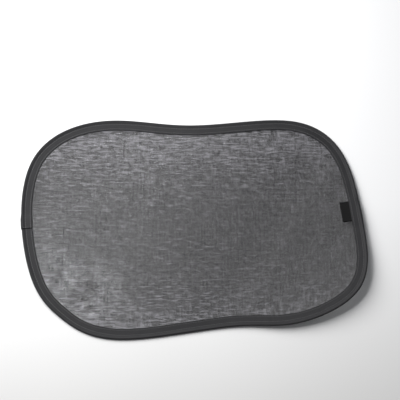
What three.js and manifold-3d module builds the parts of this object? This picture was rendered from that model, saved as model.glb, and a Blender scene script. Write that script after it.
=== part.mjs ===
// Cling-on shade for a car's side window: a spring-wire hoop in a folded fabric binding, with a net and a
// clear cling film stretched across it. It lies on its back, its label side up, as it comes to rest.
// Millimetres, +X along the length, +Y towards the waisted upper side, +Z up, origin on the surface below.
import * as THREE from 'three';
import Module from 'manifold-3d';

const wasm = await Module();
wasm.setup();

// Wire hoop
const half_length = 236;
const half_height = 156;
const wire_radius = 1.1;
const wire_end_gap = 0.8;
const wire_sides = 8;
const hoop_steps = 110;

// The hoop's free shape: control points of a closed cubic spline, anticlockwise from the right-hand end, as
// shares of the half length and half height. The upper side is waisted, the lower side runs uphill.
const hoop_cage = [
  [0.98, 0.05], [0.93, 0.70], [0.65, 1.09], [-0.04, 0.88],
  [-0.52, 1.07], [-1.06, 0.71], [-0.97, -0.52], [-0.77, -0.81],
  [-0.50, -1.09], [0.30, -0.83], [0.53, -0.94], [1.04, -0.64],
];

// A twisted-shut hoop never lies quite flat: beyond a flat stretch two opposite corners spring up, each on a
// cylinder, so that the net and the film bend without stretching.
const flat_reach = 75;
const upper_left_direction = 155 * Math.PI / 180;
const upper_left_radius = 1100;
const lower_right_direction = -32 * Math.PI / 180;
const lower_right_radius = 800;

// Ferrule that holds the wire's two ends together, on the right-hand side
const ferrule_length = 18;
const ferrule_wall = 0.4;
const ferrule_slit = 0.35;
const ferrule_height = 15;

// Binding tape, folded round the wire and over both faces of the net
const tape_thickness = 0.6;
const binding_width = 15;
const neck_reach = 3.5;
const lap_length = 14;
const lap_ramp = 7;
const lap_height = 8;

// The seam through both legs of the tape, which pulls a groove into each
const seam_inset = 2.2;
const seam_width = 1.8;
const seam_depth = 0.2;

// Net and film
const film_thickness = 0.3;
const net_thickness = 0.6;
const net_valley = 0.25;
const net_pitch = 33.5;
const net_strand = 9;
const net_edge_inset = 3;
const net_border = 3;
const smallest_gap = 0.15;

// Woven label, folded double, its ends sewn in under the front of the binding
const label_length = 29;
const label_visible = 12.5;
const label_tuck = 4;
const label_thickness = 0.8;
const label_height = 22;
const label_ramp = 12;

// Room between pieces that touch in the real object
const clearance = 0.3;
const pinch_clearance = 0.4;

// Levels above the wire's centre line
const layers = film_thickness + clearance + net_thickness;
const film_bottom = -layers / 2;
const net_bottom = film_bottom + film_thickness + clearance;
const net_top = net_bottom + net_thickness;
const label_bottom = net_top + clearance;
const leg_inside = layers / 2 + pinch_clearance;
const bulge_inside = wire_radius + clearance;
const bulge_outside = bulge_inside + tape_thickness;
const ferrule_inside = wire_radius + clearance;
const ferrule_outside = ferrule_inside + ferrule_wall;
const ferrule_swell = ferrule_outside + clearance - bulge_inside;
const lap_swell = tape_thickness + clearance;
const label_swell = label_bottom + label_thickness + clearance - leg_inside;
const leg_end = binding_width - bulge_outside;
const gripped = leg_end + clearance;

// The wire's line seen from above, its box centred on the origin
class HoopLine extends THREE.Curve {
  middle = new THREE.Vector3();

  getPoint(share, target = new THREE.Vector3()) {
    const count = hoop_cage.length;
    const along = (share % 1) * count;
    const first = Math.floor(along);
    const t = along - first;
    const weights = [
      (1 - t) ** 3 / 6,
      (3 * t ** 3 - 6 * t ** 2 + 4) / 6,
      (-3 * t ** 3 + 3 * t ** 2 + 3 * t + 1) / 6,
      t ** 3 / 6,
    ];
    target.set(0, 0, 0);
    weights.forEach((weight, k) => {
      const [x, y] = hoop_cage[(first + k + count - 1) % count];
      target.x += weight * x * half_length;
      target.y += weight * y * half_height;
    });
    return target.sub(this.middle);
  }
}

const hoop = new HoopLine();
hoop.arcLengthDivisions = 720;
new THREE.Box3().setFromPoints(hoop.getPoints(720)).getCenter(hoop.middle);
const hoop_length = hoop.getLength();

// How far a corner has sprung up at a point of the plan
function spring(x, y, direction, radius) {
  const beyond = Math.max(0, x * Math.cos(direction) + y * Math.sin(direction) - flat_reach);
  return beyond ** 2 / (2 * radius);
}

function rise(x, y) {
  const upper_left = spring(x, y, upper_left_direction, upper_left_radius);
  const lower_right = spring(x, y, lower_right_direction, lower_right_radius);
  return upper_left + lower_right;
}

function onSurface(x, y, level) {
  return new THREE.Vector3(x, y, bulge_outside + rise(x, y) + level);
}

// A point of the plan beside the wire: so far along the hoop, and so far inside it
function beside(along, inward) {
  const share = (along / hoop_length % 1 + 1) % 1;
  const point = hoop.getPointAt(share);
  const tangent = hoop.getTangentAt(share);
  return new THREE.Vector2(point.x - tangent.y * inward, point.y + tangent.x * inward);
}

// How far along the hoop its left (side -1) or right (side 1) part crosses a height
function crossing(side, height) {
  const steps = 2000;
  let best = 0;
  let nearest = Infinity;
  for (let i = 0; i < steps; i += 1) {
    const point = hoop.getPointAt(i / steps);
    const miss = Math.abs(point.y - height);
    if (point.x * side > 0 && miss < nearest) {
      nearest = miss;
      best = i / steps * hoop_length;
    }
  }
  return best;
}

const ferrule_at = crossing(1, ferrule_height);
const label_at = crossing(1, label_height);
const lap_at = crossing(-1, lap_height);
const lap_finish = lap_at + hoop_length;

function evenly(from, to, steps) {
  return Array.from({ length: steps + 1 }, (_, i) => from + (to - from) * i / steps);
}

// Every piece turns at the same stations along the hoop, so that the pieces stay parallel in its bends: even
// steps, and the places where the binding swells or laps
const marks = [
  lap_at, lap_at + lap_length, lap_finish - lap_ramp,
  ...[-1, 1].flatMap((end) => [
    ferrule_at + end * ferrule_length / 2,
    label_at + end * label_length / 2,
    label_at + end * (label_length / 2 + label_ramp),
  ]),
].map((along) => lap_at + THREE.MathUtils.euclideanModulo(along - lap_at, hoop_length));
const even_stations = evenly(lap_at, lap_finish, hoop_steps).slice(0, hoop_steps);
const spare = hoop_length / hoop_steps / 3;
const stations = even_stations
  .filter((along) => marks.every((mark) => Math.abs(mark - along) > spare))
  .concat(marks)
  .sort((a, b) => a - b);

function stationsBetween(from, to) {
  const turns = [-1, 0, 1].flatMap((turn) => stations.map((along) => along + turn * hoop_length));
  return [from, ...turns.filter((along) => along > from + 0.1 && along < to - 0.1), to];
}

// 1 over a stretch of the hoop, falling to 0 over a ramp at each end
function over(along, centre, length, ramp) {
  const turn = (along - centre) / hoop_length;
  const away = Math.abs(turn - Math.round(turn)) * hoop_length;
  return THREE.MathUtils.clamp((length / 2 + ramp - away) / ramp, 0, 1);
}

function solid(name, positions, faces, look) {
  const geometry = new THREE.BufferGeometry();
  geometry.setAttribute('position', new THREE.Float32BufferAttribute(positions.flatMap((p) => p.toArray()), 3));
  geometry.setIndex(faces.flat());
  geometry.computeVertexNormals();
  const mesh = new THREE.Mesh(geometry, new THREE.MeshStandardMaterial(look));
  mesh.name = name;
  return mesh;
}

// A section of [inward, level] points, anticlockwise with inward to the right and level up, drawn along the
// hoop through the given places and closed with a cap at each end
function sweep(name, places, sectionAt, look) {
  const positions = [];
  const faces = [];
  const count = sectionAt(places[0]).length;
  for (const along of places) {
    for (const [inward, level] of sectionAt(along)) {
      const plan = beside(along, inward);
      positions.push(onSurface(plan.x, plan.y, level));
    }
  }
  for (let i = 0; i + 1 < places.length; i += 1) {
    for (let k = 0; k < count; k += 1) {
      const next = (k + 1) % count;
      const [a, b] = [i * count + k, i * count + next];
      const [c, d] = [a + count, b + count];
      faces.push([a, b, c], [b, d, c]);
    }
  }
  const outline = sectionAt(places[0]).map(([inward, level]) => new THREE.Vector2(inward, level));
  const last = (places.length - 1) * count;
  for (const [a, b, c] of THREE.ShapeUtils.triangulateShape(outline, [])) {
    faces.push([a, c, b], [last + a, last + b, last + c]);
  }
  return solid(name, positions, faces, look);
}

// Points on an arc round the wire; angle 0 is the inward side
function arc(radius, from, to, steps) {
  return evenly(from, to, steps).map((angle) => [radius * Math.cos(angle), radius * Math.sin(angle)]);
}

function wireHoop() {
  const half_gap = wire_end_gap / 2;
  const places = stationsBetween(ferrule_at + half_gap, ferrule_at + hoop_length - half_gap);
  const section = arc(wire_radius, 0, 2 * Math.PI, wire_sides).slice(0, wire_sides);
  const look = { color: 0x9a9ca0, roughness: 0.35, metalness: 1 };
  return sweep('wire_hoop', places, () => section, look);
}

// A crimped ferrule: a strip rolled round the wire's two ends, with its slit inwards
function hoopFerrule() {
  const places = stationsBetween(ferrule_at - ferrule_length / 2, ferrule_at + ferrule_length / 2);
  const outside = arc(ferrule_outside, ferrule_slit, 2 * Math.PI - ferrule_slit, 11);
  const inside = arc(ferrule_inside, 2 * Math.PI - ferrule_slit, ferrule_slit, 11);
  const section = [...outside, ...inside];
  const look = { color: 0xb4b6ba, roughness: 0.4, metalness: 1 };
  return sweep('hoop_ferrule', places, () => section, look);
}

// The folded tape: round the outside of the wire, and inwards over and under the net and the film. It swells
// over the ferrule, over the label's root in front, and where its finishing end laps over its start.
function edgeBinding() {
  const places = stationsBetween(lap_at, lap_finish + lap_length);
  const throat = Math.PI / 2;
  const seam_at = leg_end - seam_inset;

  // A leg's outer face from its inner edge to the neck
  function outerFace(level) {
    return [
      [leg_end, level],
      [seam_at + seam_width / 2, level],
      [seam_at, level - Math.sign(level) * seam_depth],
      [seam_at - seam_width / 2, level],
      [neck_reach, level],
    ];
  }

  function sectionAt(along) {
    const onFerrule = ferrule_swell * over(along, ferrule_at, ferrule_length, lap_ramp * 2);
    const onLap = lap_swell * THREE.MathUtils.clamp((along - lap_finish + lap_ramp) / lap_ramp, 0, 1);
    const onLabel = label_swell * over(along, label_at, label_length, label_ramp);
    const swell = onFerrule + onLap;
    const front = leg_inside + Math.max(onLap, onLabel);
    const back = -leg_inside - onLap;
    return [
      ...outerFace(front + tape_thickness),
      ...arc(bulge_outside + swell, throat, 2 * Math.PI - throat, 4),
      ...outerFace(back - tape_thickness).reverse(),
      [leg_end, back],
      [neck_reach, back],
      ...arc(bulge_inside + swell, 2 * Math.PI - throat, throat, 4),
      [neck_reach, front],
      [leg_end, front],
    ];
  }

  return sweep('edge_binding', places, sectionAt, { color: 0x2a2a2c, roughness: 0.85, metalness: 0 });
}

function labelTab() {
  const places = stationsBetween(label_at - label_length / 2, label_at + label_length / 2);
  const tucked = leg_end - label_tuck;
  const fold = leg_end + label_visible;
  const top = label_bottom + label_thickness;
  const round = label_thickness / 3;
  const section = [
    [tucked, label_bottom], [fold - round, label_bottom], [fold, label_bottom + round],
    [fold, top - round], [fold - round, top], [tucked, top],
  ];
  return sweep('label_tab', places, () => section, { color: 0x141415, roughness: 0.8, metalness: 0 });
}

// A flat slab over numbered faces of the plan, with walls wherever a face has no neighbour
function slab(points, faces, lowAt, highAt) {
  const used = [...new Set(faces.flat())];
  const number = new Map(used.map((n, k) => [n, k]));
  const low = used.flatMap((n) => [points[n].x, points[n].y, lowAt(points[n])]);
  const high = used.flatMap((n) => [points[n].x, points[n].y, highAt(points[n])]);
  const all = [];
  const open = new Map();
  for (const face of faces) {
    const [a, b, c] = face.map((n) => number.get(n));
    all.push(a, c, b, a + used.length, b + used.length, c + used.length);
    for (const [from, to] of [[a, b], [b, c], [c, a]]) {
      if (!open.delete(`${to} ${from}`)) {
        open.set(`${from} ${to}`, [from, to]);
      }
    }
  }
  for (const [from, to] of open.values()) {
    all.push(from, to, to + used.length, from, to + used.length, from + used.length);
  }
  const vertProperties = new Float32Array([...low, ...high]);
  return new wasm.Manifold(new wasm.Mesh({ numProp: 3, vertProperties, triVerts: new Uint32Array(all) }));
}

// An upright block over an outline, tall enough to cut right through the net and the film
function block(outline) {
  const faces = THREE.ShapeUtils.triangulateShape(outline, []);
  return slab(outline, faces, () => -2 * layers, () => 2 * layers);
}

const panel_edge = stations.map((along) => beside(along, net_edge_inset));
const gap_limit = stations.map((along) => beside(along, gripped + net_border));

// The part of a convex outline that lies inside the stretch of border near it
function insideBorder(outline, centre) {
  let kept = outline;
  gap_limit.forEach((from, k) => {
    const to = gap_limit[(k + 1) % gap_limit.length];
    if (from.distanceTo(centre) > 1.5 * net_pitch) {
      return;
    }
    const side = (p) => (to.x - from.x) * (p.y - from.y) - (to.y - from.y) * (p.x - from.x);
    kept = kept.flatMap((p, i) => {
      const q = kept[(i + 1) % kept.length];
      const [before, after] = [side(p), side(q)];
      const cut = before * after < 0 ? [p.clone().lerp(q, before / (before - after))] : [];
      return before >= 0 ? [p, ...cut] : cut;
    });
  });
  return kept;
}

// Square cells over the whole plan: strands round a gap, with a ridge along each strand where the cells meet
function netCells() {
  const points = [];
  const numbers = new Map();
  const strand_faces = [];
  const whole_gap_faces = [];
  const border_faces = [];
  const part_gaps = [];

  function square(centre, half, ridge) {
    const corners = [[-1, -1], [1, -1], [1, 1], [-1, 1]].map(([i, j]) => (
      new THREE.Vector2(centre.x + i * half, centre.y + j * half)
    ));
    const names = corners.map((p) => {
      const key = `${p.x.toFixed(3)} ${p.y.toFixed(3)}`;
      if (!numbers.has(key)) {
        numbers.set(key, points.length);
        points.push({ x: p.x, y: p.y, ridge });
      }
      return numbers.get(key);
    });
    return { corners, names };
  }

  const columns = Math.ceil(half_length / net_pitch);
  const rows = Math.ceil(half_height / net_pitch);
  for (let row = -rows; row <= rows; row += 1) {
    for (let column = -columns; column <= columns; column += 1) {
      const centre = new THREE.Vector2(column * net_pitch, row * net_pitch);
      const outer = square(centre, net_pitch / 2, true).names;
      const { corners, names: inner } = square(centre, (net_pitch - net_strand) / 2, false);
      outer.forEach((a, k) => {
        const next = (k + 1) % 4;
        strand_faces.push([a, outer[next], inner[next]], [a, inner[next], inner[k]]);
      });
      const filling = [[inner[0], inner[1], inner[2]], [inner[0], inner[2], inner[3]]];
      const kept = insideBorder(corners, centre);
      const open = kept.length > 2 ? THREE.ShapeUtils.area(kept) / (net_pitch - net_strand) ** 2 : 0;
      if (open > 0.999) {
        whole_gap_faces.push(...filling);
      } else {
        border_faces.push(...filling);
        if (open > smallest_gap) {
          part_gaps.push(kept);
        }
      }
    }
  }
  return { points, strand_faces, whole_gap_faces, border_faces, part_gaps };
}

const cells = netCells();
const panel_block = block(panel_edge);

// A flat solid bent to the surface that the hoop holds it in
function bent(name, flat, look) {
  const { vertProperties, triVerts } = flat.getMesh();
  const positions = [];
  for (let k = 0; k < vertProperties.length; k += 3) {
    positions.push(onSurface(vertProperties[k], vertProperties[k + 1], vertProperties[k + 2]));
  }
  return solid(name, positions, [...triVerts], look);
}

function meshPanel() {
  const { points, strand_faces, border_faces, part_gaps } = cells;
  const top = (point) => (point.ridge ? net_top : net_top - net_valley);
  let net = slab(points, [...strand_faces, ...border_faces], () => net_bottom, top).intersect(panel_block);
  for (const gap of part_gaps) {
    net = net.subtract(block(gap));
  }
  return bent('mesh_panel', net, { color: 0x1c1c1e, roughness: 0.7, metalness: 0 });
}

// The film's facets are the net's with the gaps filled, so that the two stay parallel wherever they bend
function clingFilm() {
  const { points, strand_faces, border_faces, whole_gap_faces } = cells;
  const faces = [...strand_faces, ...border_faces, ...whole_gap_faces];
  const film = slab(points, faces, () => film_bottom, () => film_bottom + film_thickness).intersect(panel_block);
  const look = { color: 0xd8dde2, roughness: 0.08, metalness: 0, transparent: true, opacity: 0.3 };
  return bent('cling_film', film, look);
}

const shade = new THREE.Group();
shade.name = 'window_sunshade';
shade.add(wireHoop(), hoopFerrule(), edgeBinding(), meshPanel(), clingFilm(), labelTab());

export default shade;
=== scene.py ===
from math import cos, pi, radians, sin, tau

import bmesh
import bpy
import numpy as np
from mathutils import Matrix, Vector, noise


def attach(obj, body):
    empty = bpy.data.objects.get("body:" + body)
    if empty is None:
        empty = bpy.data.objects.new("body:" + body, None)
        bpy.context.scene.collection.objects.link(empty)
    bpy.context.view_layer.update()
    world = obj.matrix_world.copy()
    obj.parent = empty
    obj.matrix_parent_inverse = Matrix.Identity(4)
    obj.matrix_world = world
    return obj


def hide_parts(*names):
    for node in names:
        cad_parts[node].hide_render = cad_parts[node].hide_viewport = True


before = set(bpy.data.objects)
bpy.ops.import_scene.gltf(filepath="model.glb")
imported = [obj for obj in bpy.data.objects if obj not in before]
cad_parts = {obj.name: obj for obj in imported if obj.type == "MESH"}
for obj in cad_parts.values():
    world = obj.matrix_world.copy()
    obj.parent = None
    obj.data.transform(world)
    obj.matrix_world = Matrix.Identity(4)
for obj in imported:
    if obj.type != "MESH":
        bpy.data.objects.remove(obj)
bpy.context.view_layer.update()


# Wire hoop
# A ring of 2.2 mm spring steel wire, its two ends held by a crimped ferrule. Twisted shut for storage and
# never quite flat again: its upper side is waisted, and two opposite corners spring up off the surface.

WIRE_RADIUS = 0.0011
WIRE_CLEARANCE = 0.0003
TAPE = 0.0006
HALF_SIZE = (0.236, 0.156)
FLAT_REACH = 0.075
# Which way from the middle each springing corner lies, and the radius of its bend
SPRINGS = ((radians(155), 1.1), (radians(-32), 0.8))
# The points that draw the spline along, as shares of the half size
HOOP_CAGE = np.array([
    (0.98, 0.05), (0.93, 0.70), (0.65, 1.09), (-0.04, 0.88),
    (-0.52, 1.07), (-1.06, 0.71), (-0.97, -0.52), (-0.77, -0.81),
    (-0.50, -1.09), (0.30, -0.83), (0.53, -0.94), (1.04, -0.64),
]) * HALF_SIZE
REST_LEVEL = WIRE_RADIUS + WIRE_CLEARANCE + TAPE
HOOP_SAMPLES = 2880


def hoop_line(samples):
    """The wire's line seen from above, as a closed cubic spline, its box centred on the origin."""
    share = np.linspace(0, len(HOOP_CAGE), samples, endpoint=False)
    first = share.astype(int)
    t = (share - first)[:, None]
    weights = ((1 - t) ** 3, 3 * t ** 3 - 6 * t ** 2 + 4, -3 * t ** 3 + 3 * t ** 2 + 3 * t + 1, t ** 3)
    line = sum(w / 6 * HOOP_CAGE[(first + k - 1) % len(HOOP_CAGE)] for k, w in enumerate(weights))
    return line - (line.max(0) + line.min(0)) / 2


hoop = hoop_line(HOOP_SAMPLES)
hoop_steps = np.linalg.norm(np.roll(hoop, -1, 0) - hoop, axis=1)
hoop_travel = np.concatenate([[0], np.cumsum(hoop_steps)])
HOOP_LENGTH = float(hoop_travel[-1])
hoop_ways = np.roll(hoop, -1, 0) - np.roll(hoop, 1, 0)
hoop_ways /= np.linalg.norm(hoop_ways, axis=1, keepdims=True)
even_travel = np.arange(HOOP_SAMPLES + 2) * HOOP_LENGTH / HOOP_SAMPLES % HOOP_LENGTH
hoop_places = np.column_stack([
    np.interp(even_travel, hoop_travel, np.append(column, column[0])) for column in (*hoop.T, *hoop_ways.T)
]).tolist()


def beside(along, inward):
    """The point of the plan that is so far along the hoop and so far inside its wire."""
    travel = along / HOOP_LENGTH % 1 * HOOP_SAMPLES
    first = int(travel)
    share = travel - first
    x, y, way_x, way_y = (a + (b - a) * share for a, b in zip(hoop_places[first], hoop_places[first + 1]))
    return x - way_y * inward, y + way_x * inward


def on_surface(x, y, level):
    """A point at a level over the wire's centre line, on the bent surface that the hoop holds."""
    rise = sum(max(0, x * cos(a) + y * sin(a) - FLAT_REACH) ** 2 / (2 * radius) for a, radius in SPRINGS)
    return Vector((x, y, REST_LEVEL + rise + level))


def crossing(side, height):
    """How far along the hoop its left (-1) or right (1) part crosses a height of the plan."""
    miss = np.abs(hoop[:, 1] - height) + np.where(hoop[:, 0] * side > 0, 0, 1)
    return float(hoop_travel[int(miss.argmin())])


class Value:
    """A number or colour socket, written into expressions that add the Math nodes they need."""

    def __init__(self, tree, socket):
        self.tree = tree
        self.socket = socket

    def node(self, kind, inputs=(), output=0, **settings):
        """A node of a type with its settings set first, then its inputs by name or number."""
        made = self.tree.nodes.new(kind)
        for key, setting in settings.items():
            setattr(made, key, setting)
        for key, given in dict(inputs).items():
            if isinstance(given, Value):
                self.tree.links.new(given.socket, made.inputs[key])
            else:
                made.inputs[key].default_value = given
        return Value(self.tree, made.outputs[output])

    def maths(self, operation, *terms):
        """A Math node's value."""
        return self.node("ShaderNodeMath", enumerate(terms), operation=operation)

    def __add__(self, other):
        return self.maths("ADD", self, other)

    def __radd__(self, other):
        return self.maths("ADD", other, self)

    def __sub__(self, other):
        return self.maths("SUBTRACT", self, other)

    def __rsub__(self, other):
        return self.maths("SUBTRACT", other, self)

    def __mul__(self, other):
        return self.maths("MULTIPLY", self, other)

    def __rmul__(self, other):
        return self.maths("MULTIPLY", other, self)

    def wave(self, pitch):
        """A smooth wave from 0 to 1 of a pitch."""
        return self.maths("SINE", self * (tau / pitch)) * 0.5 + 0.5

    def clamp(self, low, high):
        """The value, kept between two numbers."""
        return self.maths("MINIMUM", self.maths("MAXIMUM", self, low), high)

    def blend(self, low, high):
        """The colour between two, by this value."""
        return self.node("ShaderNodeMix", {0: self, 6: low, 7: high}, 2, data_type="RGBA")


class Finish:
    """A material with its Principled shader; constants name its sockets with underscores for spaces."""

    def __init__(self, name, **constants):
        self.material = bpy.data.materials.new(name)
        self.material.use_nodes = True
        self.tree = self.material.node_tree
        self.shader = self.tree.nodes["Principled BSDF"]
        self.start = Value(self.tree, None)
        for key, constant in constants.items():
            self.shader.inputs[key.replace("_", " ")].default_value = constant

    def place(self, coordinates="Object"):
        """A place on the piece, in metres from its origin or on its UV map."""
        return self.start.node("ShaderNodeTexCoord", output=coordinates)

    def axes(self, coordinates="Object", scale=(1, 1, 1)):
        """The coordinates' three numbers, each times its scale."""
        scaled = self.start.node("ShaderNodeMapping", {"Vector": self.place(coordinates), "Scale": scale})
        return [self.start.node("ShaderNodeSeparateXYZ", {0: scaled}, k) for k in range(3)]

    def noise(self, size, detail=2.0, coordinates="Object", stretch=(1, 1, 1)):
        """A cloudy value from 0 to 1, its lumps about so many metres wide."""
        scale = tuple(s / size for s in stretch)
        moved = self.start.node("ShaderNodeMapping", {"Vector": self.place(coordinates), "Scale": scale})
        return self.start.node("ShaderNodeTexNoise", {"Vector": moved, "Scale": 1.0, "Detail": detail})

    def set(self, socket, value):
        """Feeds a value into one of the shader's sockets."""
        self.tree.links.new(value.socket, self.shader.inputs[socket])

    def bump(self, height, distance, strength=1.0):
        """Raises the surface by a value from 0 to 1, up to a distance in metres."""
        sockets = {"Height": height, "Distance": distance, "Strength": strength}
        self.set("Normal", self.start.node("ShaderNodeBump", sockets))

    def on(self, piece):
        """Makes this the piece's only finish."""
        piece.data.materials.clear()
        piece.data.materials.append(self.material)
        return piece


DARK_STEEL = (0.24, 0.25, 0.27, 1)
LIGHT_STEEL = (0.36, 0.37, 0.39, 1)
DRAWN_LINE = 0.0006
DRAWN_DEPTH = 0.00003

wire_finish = Finish("drawn_spring_wire", Metallic=1.0, Roughness=0.35)
drawn = wire_finish.noise(DRAWN_LINE, stretch=(1, 1, 0.05))
wire_finish.set("Base Color", drawn.blend(DARK_STEEL, LIGHT_STEEL))
wire_finish.bump(drawn, DRAWN_DEPTH)
wire_finish.on(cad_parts["wire_hoop"])

DARK_ZINC = (0.40, 0.41, 0.43, 1)
LIGHT_ZINC = (0.52, 0.53, 0.55, 1)
DENT_SIZE = 0.003
DENT_DEPTH = 0.0001

ferrule_finish = Finish("crimped_ferrule", Metallic=1.0, Roughness=0.4)
dents = ferrule_finish.noise(DENT_SIZE)
ferrule_finish.set("Base Color", dents.blend(DARK_ZINC, LIGHT_ZINC))
ferrule_finish.bump(dents, DENT_DEPTH)
ferrule_finish.on(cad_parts["hoop_ferrule"])


# Binding
# A woven polyester tape folded lengthwise round the wire and over both faces of the net, and sewn through
# near its inner edges. Its finishing end is turned in and laps over its start on the left-hand side.

BINDING_WIDTH = 0.015
BULGE = REST_LEVEL
LEG_LEVEL = 0.0012
NECK = 0.0035
LAP_LENGTH = 0.014
LAP_RAMP = 0.007
LAP_SWELL = 0.0009
FERRULE_LENGTH = 0.018
FERRULE_SWELL = 0.0007
LABEL_LENGTH = 0.029
LABEL_RAMP = 0.012
LABEL_SWELL = 0.001
SEAM_INSET = 0.0022
SEAM_GROOVE = 0.0002
SEAM_HALF_WIDTH = 0.0012
PUCKER = 0.00025
PUCKER_PITCH = 0.006
PUCKER_REACH = 0.016
PUCKER_SHARE = 0.6
PUFF_SIZE = 0.012
EDGE_WANDER = 0.0004
WANDER_PITCH = 0.03
LAP_HEIGHT = 0.008
FERRULE_HEIGHT = 0.015
LABEL_HEIGHT = 0.022
BINDING_STEPS = 760
BINDING_ROUND = 50
TAPE_BLACK = (0.010, 0.010, 0.011, 1)
TAPE_GREY = (0.027, 0.0265, 0.029, 1)
RIB_PITCH = 0.0011
PICK_PITCH = 0.0009
TAPE_CLOUD = 0.02
WEAVE_DEPTH = 0.00008

LEG_END = BINDING_WIDTH - BULGE
tape_width = 2 * LEG_END + pi * BULGE
lap_at = crossing(-1, LAP_HEIGHT)
ferrule_at = crossing(1, FERRULE_HEIGHT)
label_at = crossing(1, LABEL_HEIGHT)


def over(along, centre, length, ramp):
    """1 over a stretch of the hoop, falling smoothly to 0 over a ramp at each end."""
    turn = (along - centre) / HOOP_LENGTH
    away = abs(turn - round(turn)) * HOOP_LENGTH
    share = min(1, max(0, (length / 2 + ramp - away) / ramp))
    return share * share * (3 - 2 * share)


def tape_section(share):
    """Where the tape's outside lies across its fold: how far inward of the wire, its level and its side."""
    flat = LEG_END - NECK
    turn = (tape_width / 2 - flat - NECK) / BULGE
    travel = share * tape_width
    side = 1
    if travel > tape_width / 2:
        travel = tape_width - travel
        side = -1
    if travel < flat:
        return LEG_END - travel, side * LEG_LEVEL, side
    if travel < flat + NECK:
        down = 1 - (travel - flat) / NECK
        smooth = down * down * (3 - 2 * down)
        return NECK * down, side * (BULGE + (LEG_LEVEL - BULGE) * smooth), side
    angle = pi - turn + (travel - flat - NECK) / BULGE
    return BULGE * cos(angle), side * BULGE * sin(angle), side


def tape_point(along, share):
    """A point on the outside of the folded tape; share 0 is the edge in front and 1 the edge behind.

    The whole numbers in the noise only give each kind of unevenness and each side of the tape its own.
    """
    inward, level, side = tape_section(share)
    lap = min(1, max(0, (along - lap_at - HOOP_LENGTH + LAP_RAMP) / LAP_RAMP)) * LAP_SWELL
    swell = lap + FERRULE_SWELL * over(along, ferrule_at, FERRULE_LENGTH, 2 * LAP_RAMP)
    if inward <= 0:
        growth = 1 + swell / BULGE
        x, y = beside(along, inward * growth)
        return on_surface(x, y, level * growth)
    on_leg = min(1, inward / NECK)
    label = LABEL_SWELL * over(along, label_at, LABEL_LENGTH, LABEL_RAMP) if side > 0 else 0
    groove = SEAM_GROOVE * max(0, 1 - abs(inward - LEG_END + SEAM_INSET) / SEAM_HALF_WIDTH)
    drawn_in = noise.noise(Vector((along / PUCKER_PITCH, inward / PUCKER_REACH, side * 5)))
    puffed = noise.noise(Vector((along / PUFF_SIZE, inward / PUFF_SIZE, side * 9)))
    pucker = PUCKER * (drawn_in * PUCKER_SHARE + puffed)
    level += side * (swell * (1 - on_leg) + max(lap, label, pucker - groove) * on_leg)
    wander = EDGE_WANDER * noise.noise(Vector((along / WANDER_PITCH, side * 3, 0.5)))
    x, y = beside(along, inward + wander * on_leg)
    return on_surface(x, y, level)


def laid_grid(name, columns, rows, place):
    """A grid of quads, with its own UV map, whose corners go where place(u, v) puts them."""
    shape = bmesh.new()
    shape.loops.layers.uv.new("UVMap")
    bmesh.ops.create_grid(shape, x_segments=columns, y_segments=rows, size=0.5, calc_uvs=True)
    for vert in shape.verts:
        vert.co = place(vert.co.x + 0.5, vert.co.y + 0.5)
    bmesh.ops.remove_doubles(shape, verts=shape.verts, dist=1e-7)
    return finished(name, shape)


def finished(name, shape, smooth=True):
    """The object made of a bmesh, riding on the shade."""
    mesh = bpy.data.meshes.new(name)
    for face in shape.faces:
        face.smooth = smooth
    shape.to_mesh(mesh)
    shape.free()
    piece = bpy.data.objects.new(name, mesh)
    bpy.context.scene.collection.objects.link(piece)
    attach(piece, "root")
    return piece


# Laid from the edge behind to the edge in front, so that its faces point outwards
binding_length = HOOP_LENGTH + LAP_LENGTH
binding = laid_grid(
    "binding_tape", BINDING_STEPS, BINDING_ROUND,
    lambda u, v: tape_point(lap_at + u * binding_length, 1 - v),
)
# A little thinner than the solid's tape, which leaves its puckers room over the net
thickness = binding.modifiers.new("tape_thickness", "SOLIDIFY")
thickness.thickness = TAPE * 0.9
thickness.offset = -1
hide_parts("edge_binding")

tape_finish = Finish("woven_tape", Specular_IOR_Level=0.2, Sheen_Weight=0.03, Sheen_Roughness=0.4)
run, across, _ = tape_finish.axes("UV", (binding_length, tape_width, 1))
ribs = run.wave(RIB_PITCH)
picks = across.wave(PICK_PITCH)
cloudy = tape_finish.noise(TAPE_CLOUD, 3)
tape_finish.set("Base Color", (ribs * 0.35 + cloudy * 0.65).blend(TAPE_BLACK, TAPE_GREY))
tape_finish.set("Roughness", 0.45 + cloudy * 0.16)
tape_finish.bump(ribs * picks + ribs * 0.5, WEAVE_DEPTH, 0.8)
tape_finish.on(binding)


# Stitching
# Lock stitches of grey thread through both legs of the binding: one row near its inner edge and one beside
# the wire, on both sides, and two short rows across the lap of its ends.

STITCH_PITCH = 0.0034
THREAD_RADIUS = 0.00022
THREAD_SWELL = 0.25
THREAD_STEPS = 7
THREAD_SIDES = 5
HOLE_DEPTH = 0.0005
HOLE_SHARPNESS = 7
SEAM_LEVEL = 0.00008
WIRE_SEAM_CLEARANCE = 0.0006
TACK_FROM_END = 0.0015
TACK_START = 0.0005
TACK_LENGTH = LEG_END - 0.0007
TACK_STITCHES = 7
THREAD_DARK = (0.045, 0.045, 0.047, 1)
THREAD_LIGHT = (0.10, 0.10, 0.105, 1)
TWIST_SIZE = 0.0005
TWIST_DEPTH = 0.0001


def share_at(inward, side):
    """The share across the tape's fold at which it lies so far inward, in front (1) or behind (-1)."""
    share = (LEG_END - inward) / tape_width
    return share if side > 0 else 1 - share


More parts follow.
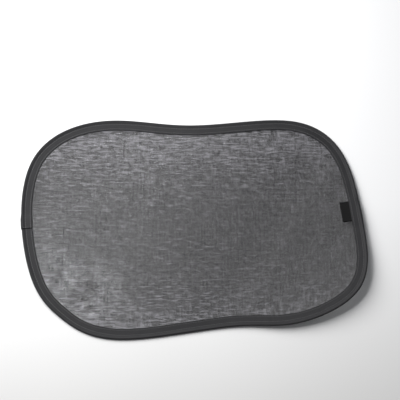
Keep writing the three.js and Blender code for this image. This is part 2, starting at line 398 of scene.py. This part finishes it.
def thread_row(name, stitches, seam_point, out):
    """A thread along a seam that dives through the tape at each needle hole; out is the way off the tape."""
    step = 0.25 / stitches / THREAD_STEPS

    def place(u, v):
        phase = u * stitches
        above = SEAM_LEVEL - HOLE_DEPTH * abs(cos(pi * phase)) ** HOLE_SHARPNESS
        way = (seam_point(u + step) - seam_point(u - step)).normalized()
        aside = way.cross(out)
        angle = tau * v
        fullness = THREAD_RADIUS * (1 + THREAD_SWELL * sin(pi * phase) ** 2)
        return seam_point(u) + out * (above + fullness * sin(angle)) + aside * fullness * cos(angle)

    thread = laid_grid(name, stitches * THREAD_STEPS, THREAD_SIDES, place)
    return thread_finish.on(thread)


thread_finish = Finish("sewing_thread", Roughness=0.55, Sheen_Weight=0.3)
twist = thread_finish.noise(TWIST_SIZE, stretch=(1, 1, 3))
thread_finish.set("Base Color", twist.blend(THREAD_DARK, THREAD_LIGHT))
thread_finish.bump(twist, TWIST_DEPTH)

up = Vector((0, 0, 1))
seam_stitches = int(HOOP_LENGTH / STITCH_PITCH)
edge_seam = LEG_END - SEAM_INSET
wire_seam = NECK + WIRE_SEAM_CLEARANCE
for row_name, row_inward, row_side in (
    ("front_seam", edge_seam, 1), ("back_seam", edge_seam, -1),
    ("front_wire_seam", wire_seam, 1), ("back_wire_seam", wire_seam, -1),
):
    row_share = share_at(row_inward, row_side)
    thread_row(
        row_name, seam_stitches,
        lambda u: tape_point(lap_at + LAP_LENGTH + u * HOOP_LENGTH, row_share), up * row_side,
    )

tack_at = lap_at + HOOP_LENGTH + LAP_LENGTH - TACK_FROM_END
for tack_name, tack_side in (("front_tack", 1), ("back_tack", -1)):
    thread_row(
        tack_name, TACK_STITCHES,
        lambda u: tape_point(tack_at, share_at(TACK_START + u * TACK_LENGTH, tack_side)),
        up * tack_side,
    )


# Net
# An open knitted polyester net, black, stretched in the hoop and gripped all round by the binding. Its two
# sets of strands cross at right angles, a little uneven in width and spacing as knitted strands are.

NET_PITCH = 0.00125
STRAND = 0.00066
NET_LEVEL = 0.0003
STRAND_STEP = 0.00014
NET_INSET = 0.006
STRAND_SEGMENT = 0.005
UNEVEN_WIDTH = 0.45
UNEVEN_WIDTH_RUN = 0.007
UNEVEN_SPACING = 0.00022
UNEVEN_SPACING_RUN = 0.09
EDGE_SAMPLES = 900
NET_BLACK = (0.006, 0.0055, 0.007, 1)
# The grey of the painted sheen on the strands
NET_PAINTED_SHEEN = (0.22, 0.215, 0.235, 1)
FLECK_SIZE = 0.0021
FLECK_THRESHOLD = 0.55
FLECK_CONTRAST = 7
# How the painted sheen fades across the panel and rises towards its upper and lower sides
PAINTED_SHEEN_FADE = 2.5
PAINTED_SHEEN_RISE = 60
PAINTED_SHEEN_TILT = 1.5
FLECK_DEPTH = 0.0001
# A cloud that varies the strands' roughness and the strength of the painted sheen
SHEEN_AND_ROUGHNESS_CLOUD_SIZE = 0.05


def panel_outline(inset):
    """The outline of a panel cut so far inside the wire, as an array of points."""
    return np.array([beside(s, inset) for s in np.linspace(0, HOOP_LENGTH, EDGE_SAMPLES, endpoint=False)])


net_edge = panel_outline(NET_INSET)


def stretches(edge, axis, at):
    """The stretches of a straight line across the panel: the line where coordinate axis equals at."""
    following = np.roll(edge, -1, 0)
    before, after = edge[:, axis] - at, following[:, axis] - at
    cut = before * after < 0
    share = before[cut] / (before[cut] - after[cut])
    other = 1 - axis
    ends = sorted(edge[cut, other] + share * (following[cut, other] - edge[cut, other]))
    return list(zip(ends[::2], ends[1::2]))


def strand_set(shape, axis, level):
    """Adds all the strands along one axis, as narrow ribbons that follow the bent panel.

    In the noise, k sets each strand a little apart from the next, and axis sets the two sets apart.
    """
    other = 1 - axis
    low, high = net_edge[:, other].min(), net_edge[:, other].max()
    for k in range(int(low / NET_PITCH), int(high / NET_PITCH) + 1):
        middle = k * NET_PITCH
        for begin, end in stretches(net_edge, other, middle):
            segments = max(1, int((end - begin) / STRAND_SEGMENT))
            ribbon = bmesh.ops.create_grid(shape, x_segments=segments, y_segments=1, size=0.5)["verts"]
            for vert in ribbon:
                run_to = begin + (vert.co.x + 0.5) * (end - begin)
                thinning = noise.noise(Vector((run_to / UNEVEN_WIDTH_RUN, k * 0.83, axis * 50)))
                width = STRAND * (1 + UNEVEN_WIDTH * thinning)
                drift = noise.noise(Vector((run_to / UNEVEN_SPACING_RUN, k * 0.41, 9 + axis * 50)))
                aside = middle + vert.co.y * width + UNEVEN_SPACING * drift
                x, y = (run_to, aside) if axis == 0 else (aside, run_to)
                vert.co = on_surface(x, y, level)


def knitted(name):
    """Both sets of strands, the upright ones with the second material."""
    sets = []
    for axis, level in ((0, NET_LEVEL + STRAND_STEP), (1, NET_LEVEL)):
        shape = bmesh.new()
        strand_set(shape, axis, level)
        for face in shape.faces:
            face.material_index = axis
        if axis == 1:
            bmesh.ops.reverse_faces(shape, faces=shape.faces)
        sets.append(shape)
    uprights = bpy.data.meshes.new("uprights")
    sets[1].to_mesh(uprights)
    sets[1].free()
    sets[0].from_mesh(uprights)
    bpy.data.meshes.remove(uprights)
    return finished(name, sets[0], smooth=False)


net = knitted("stretched_net")
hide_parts("mesh_panel")

# Painted sheen: the strands' colour is lightened in flecks towards a grey, as painted highlights. The
# crosswise ones are lightened on the left and the others on the right, and both sets more near the upper and
# lower sides
for strands, stretch, painted_sheen_sign in (("crosswise", (0.16, 1, 1), -1), ("upright", (1, 0.16, 1), 1)):
    net_finish = Finish("black_net_" + strands, Roughness=0.5, Sheen_Weight=0.1)
    sheen_and_roughness_cloud = net_finish.noise(SHEEN_AND_ROUGHNESS_CLOUD_SIZE, 3)
    flecks = net_finish.noise(FLECK_SIZE, 2, stretch=stretch)
    across_panel, up_panel, _ = net_finish.axes()
    painted_sheen_side = (across_panel * (painted_sheen_sign * PAINTED_SHEEN_FADE) + 0.5).clamp(0.1, 1)
    painted_sheen_top_bottom = (up_panel * up_panel * PAINTED_SHEEN_RISE + up_panel * PAINTED_SHEEN_TILT).clamp(0, 1)
    painted_sheen_flecks = (flecks - FLECK_THRESHOLD + painted_sheen_top_bottom * 0.10) * FLECK_CONTRAST
    painted_sheen = painted_sheen_flecks * (painted_sheen_side * 0.7 + sheen_and_roughness_cloud * 0.4 + painted_sheen_top_bottom * 0.3)
    net_finish.set("Base Color", painted_sheen.clamp(0, 1).blend(NET_BLACK, NET_PAINTED_SHEEN))
    net_finish.set("Roughness", 0.35 + sheen_and_roughness_cloud * 0.3)
    net_finish.bump(flecks, FLECK_DEPTH)
    net.data.materials.append(net_finish.material)


# Cling film
# A clear, soft vinyl film behind the net that clings to the window by itself. It is gripped with the net in
# the binding, and the creases of its folding for storage never quite leave it.

FILM_LEVEL = -0.00045
FILM_INSET = 0.005
FILM_RINGS = 80
FILM_ROUND = 340
FILM_HELD = 0.07
FILM_LOOSENING = 0.1
CRINKLE = 0.00022
FOLD_SIZE = 0.028
FINE_FOLD_SIZE = 0.011
FINE_FOLD_SHARE = 0.5
FILM_CLEAR = (0.92, 0.94, 0.97, 1)
FILM_CLOUD = 0.012
FILM_RIPPLE = 0.0006
# Each crease: where its middle is, which way it runs, its length, its half width and its depth
CREASES = (
    (-0.157, -0.101, radians(38), 0.034, 0.012, 0.0013),
    (-0.186, -0.074, radians(30), 0.014, 0.006, 0.0009),
    (-0.140, -0.118, radians(12), 0.020, 0.006, 0.0007),
    (0.024, -0.069, radians(72), 0.030, 0.006, 0.0006),
)


def creased(x, y):
    """How deep the film's creases push it back at a point of the plan."""
    depth = 0
    for middle_x, middle_y, way, length, half_width, most in CREASES:
        along = (x - middle_x) * cos(way) + (y - middle_y) * sin(way)
        across = (y - middle_y) * cos(way) - (x - middle_x) * sin(way)
        tent = max(0, 1 - abs(across) / half_width) * max(0, 1 - (along / length) ** 2)
        depth += most * tent
    return depth


def film_point(u, v):
    """A point of the film: u goes round the hoop, v from the gripped edge to the middle."""
    x, y = ((1 - v) * part for part in beside(u * HOOP_LENGTH, FILM_INSET))
    spot = Vector((x, y, 0))
    free = min(1, max(0, v - FILM_HELD) / FILM_LOOSENING)
    folds = noise.noise(spot / FOLD_SIZE)
    folds += FINE_FOLD_SHARE * noise.noise(spot / FINE_FOLD_SIZE + Vector((7, 3, 1)))
    return on_surface(x, y, FILM_LEVEL + free * (CRINKLE * folds - creased(x, y)))


film = laid_grid("clear_film", FILM_ROUND, FILM_RINGS, film_point)
film_edge = panel_outline(FILM_INSET)
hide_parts("cling_film")

# Metallic stands in for the film's mirror-like gloss, and the low alpha for its clearness
film_finish = Finish("clear_vinyl", Metallic=0.9, Base_Color=FILM_CLEAR)
crinkles = film_finish.noise(FILM_CLOUD, 4)
film_finish.set("Roughness", 0.12 + crinkles * 0.16)
film_finish.set("Alpha", 0.08 + crinkles * 0.16)
film_finish.bump(crinkles, FILM_RIPPLE, 0.5)
film_finish.on(film)


# Label
# A small black woven label, folded double, its two ends sewn in under the front leg of the binding on the
# right-hand side. It lies on the net and is left blank.

LABEL_VISIBLE = 0.0125
LABEL_TUCK = 0.004
LABEL_THICKNESS = 0.0008
LABEL_LEVEL = 0.0009
LABEL_LIFT = 0.0004
LABEL_PLY = 0.00025
LABEL_COLUMNS = 48
LABEL_ROWS = 40
LABEL_BLACK = (0.006, 0.006, 0.006, 1)
LABEL_GREY = (0.020, 0.020, 0.021, 1)
SATIN_PITCH = 0.0005
SATIN_REPEAT = 0.0009
SATIN_DEPTH = 0.00006


def label_point(u, v):
    """A point of the label: u goes along its root, v from one sewn end round the fold to the other."""
    along = label_at + (u - 0.5) * LABEL_LENGTH
    reach = LABEL_VISIBLE + LABEL_TUCK
    flat = reach - LABEL_THICKNESS / 2
    bend = pi * LABEL_THICKNESS / 2
    travel = v * (2 * flat + bend)
    middle = LABEL_LEVEL + LABEL_THICKNESS / 2
    start = LEG_END - LABEL_TUCK
    if travel < flat:
        inward, level = start + travel, middle + LABEL_THICKNESS / 2
    elif travel < flat + bend:
        angle = pi / 2 - (travel - flat) / (LABEL_THICKNESS / 2)
        inward = start + flat + LABEL_THICKNESS / 2 * cos(angle)
        level = middle + LABEL_THICKNESS / 2 * sin(angle)
    else:
        inward, level = start + 2 * flat + bend - travel, middle - LABEL_THICKNESS / 2
    lift = LABEL_LIFT * max(0, (inward - LEG_END) / LABEL_VISIBLE) ** 2 * (1 + 0.5 * sin(3 * u))
    x, y = beside(along, inward)
    return on_surface(x, y, level + lift)


label = laid_grid("woven_label", LABEL_COLUMNS, LABEL_ROWS, label_point)
# Each of its two plies hangs inside the outline that the grid draws
ply = label.modifiers.new("label_ply", "SOLIDIFY")
ply.thickness = LABEL_PLY
ply.offset = -1
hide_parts("label_tab")
label_unfolded = 2 * (LABEL_VISIBLE + LABEL_TUCK)

label_finish = Finish("woven_satin", Roughness=0.7, Specular_IOR_Level=0.08)
label_run, label_across, _ = label_finish.axes("UV", (LABEL_LENGTH, label_unfolded, 1))
satin = label_run.wave(SATIN_PITCH) * label_across.wave(SATIN_REPEAT)
label_finish.set("Base Color", satin.blend(LABEL_BLACK, LABEL_GREY))
label_finish.bump(satin, SATIN_DEPTH)
label_finish.on(label)


# Table, light and camera
# A white table with painted shade that darkens its colour towards the camera, a broad soft light and a small
# lamp from the upper left, and a camera that looks down on the shade from beyond its lower side.

CAMERA_TILT = radians(17)
CAMERA_DISTANCE = 1.515
CAMERA_TARGET = Vector((0.0093, 0.0393, 0))
PHOTO_FOCAL_PIXELS = 1084.4
PHOTO_SIZE = 400
SENSOR_WIDTH = 36
TABLE_HALF_SIZE = 6
TABLE_CLOUD = 0.3
# How quickly the table's painted shade fades out away from the camera
TABLE_SHADE_FADE = 3
# The table's colour at the camera's side, darkened there as painted shade, and its colour far off
TABLE_NEAR_PAINTED_SHADE = (0.69, 0.685, 0.675, 1)
TABLE_FAR = (0.90, 0.90, 0.905, 1)
ROOM_COLOUR = (0.95, 0.97, 1.0, 1)
ROOM_BRIGHTNESS = 0.2

table_shape = bmesh.new()
bmesh.ops.create_grid(table_shape, x_segments=1, y_segments=1, size=TABLE_HALF_SIZE)
table_mesh = bpy.data.meshes.new("table")
table_shape.to_mesh(table_mesh)
table_shape.free()
table = bpy.data.objects.new("table", table_mesh)
bpy.context.scene.collection.objects.link(table)
table_finish = Finish("white_table", Roughness=0.8, Specular_IOR_Level=0.1)
cloud = table_finish.noise(TABLE_CLOUD, 2)
_, away_from_camera, _ = table_finish.axes()
# Painted shade: the table's colour darkens towards the camera, with a faint random cloud
painted_falloff = (away_from_camera * TABLE_SHADE_FADE + 0.8 + cloud * 0.2).clamp(0, 1)
table_finish.set("Base Color", painted_falloff.blend(TABLE_NEAR_PAINTED_SHADE, TABLE_FAR))
table_finish.on(table)


def soft_light(name, location, size, energy):
    """A square soft light that faces the shade."""
    light = bpy.data.lights.new(name, "AREA")
    light.size = size
    light.energy = energy
    lamp = bpy.data.objects.new(name, light)
    lamp.location = location
    lamp.rotation_euler = (-lamp.location).to_track_quat("-Z", "Y").to_euler()
    bpy.context.scene.collection.objects.link(lamp)


soft_light("softbox", location=(-0.48, 0.48, 0.78), size=0.85, energy=16)
soft_light("ceiling_lamp", location=(-0.265, 0.09, 0.85), size=0.10, energy=1.5)

world = bpy.data.worlds.new("room")
world.use_nodes = True
world.node_tree.nodes["Background"].inputs["Color"].default_value = ROOM_COLOUR
world.node_tree.nodes["Background"].inputs["Strength"].default_value = ROOM_BRIGHTNESS
bpy.context.scene.world = world

camera_data = bpy.data.cameras.new("camera")
camera_data.sensor_fit = "HORIZONTAL"
camera_data.sensor_width = SENSOR_WIDTH
camera_data.lens = SENSOR_WIDTH * PHOTO_FOCAL_PIXELS / PHOTO_SIZE
camera = bpy.data.objects.new("camera", camera_data)
camera.location = CAMERA_TARGET + CAMERA_DISTANCE * Vector((0, -sin(CAMERA_TILT), cos(CAMERA_TILT)))
camera.rotation_euler = (CAMERA_TILT, 0, 0)
bpy.context.scene.collection.objects.link(camera)
bpy.context.scene.camera = camera
bpy.context.scene.view_settings.view_transform = "Standard"
